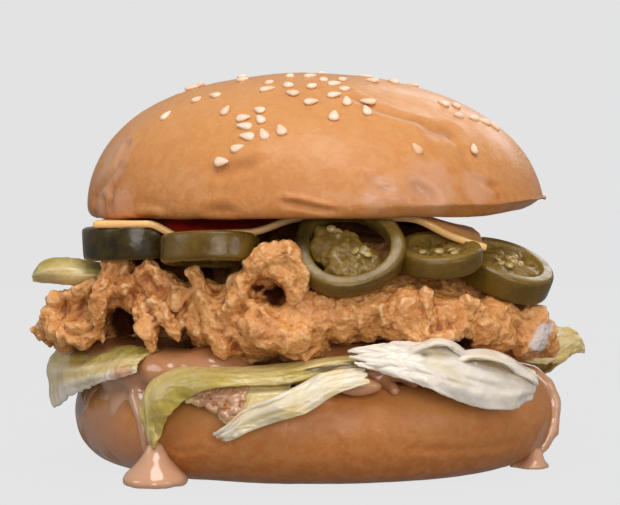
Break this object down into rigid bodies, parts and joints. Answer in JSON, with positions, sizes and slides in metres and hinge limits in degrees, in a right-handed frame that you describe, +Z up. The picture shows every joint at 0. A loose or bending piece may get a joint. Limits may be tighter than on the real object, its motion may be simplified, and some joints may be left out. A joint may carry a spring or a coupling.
{
  "type": "chicken burger",
  "caption": "Crispy chicken burger in a seeded bun with cheese, pickled pepper slices, lettuce leaves and pink sauce that drips to the table.",
  "frame": {"origin": "middle of the bottom bun's flat base, on the table", "axes": "+Z up; the shown side faces -Y; +X runs to the right as seen from the shown side"},
  "size_m": [0.1255, 0.1189, 0.0892],
  "materials": {
    "bun": "soft baked crust, satin",
    "sesame": "cream sesame seed, satin",
    "cheese": "soft melted cheese, satin",
    "pepper": "pickled olive green flesh, wet gloss",
    "chicken": "craggy golden fried crust, lightly oily",
    "lettuce": "pale crisp leaf, moist",
    "sauce": "pink creamy sauce, wet gloss"
  },
  "bodies": {
    "root": {"bottom_bun": "bun", "top_bun": "bun", "cheese_slice": "cheese", "pepper_slice_a": "pepper", "pepper_slice_b": "pepper", "pepper_slice_c": "pepper", "pepper_slice_d": "pepper", "pepper_slice_e": "pepper", "pepper_slice_g": "pepper", "pepper_slice_h": "pepper", "pepper_slice_i": "pepper", "pepper_slice_j": "pepper", "chicken_right": "chicken", "chicken_middle": "chicken", "chicken_left": "chicken", "chicken_back_left": "chicken", "chicken_back_right": "chicken", "lettuce_left_high": "lettuce", "lettuce_left_low": "lettuce", "lettuce_curl": "lettuce", "lettuce_strip": "lettuce", "lettuce_blade": "lettuce", "lettuce_sheet": "lettuce", "lettuce_right_tip": "lettuce", "lettuce_rear": "lettuce", "lettuce_rear_left": "lettuce", "lettuce_rear_right": "lettuce", "sauce": "sauce"}
  },
  "joints": []
}
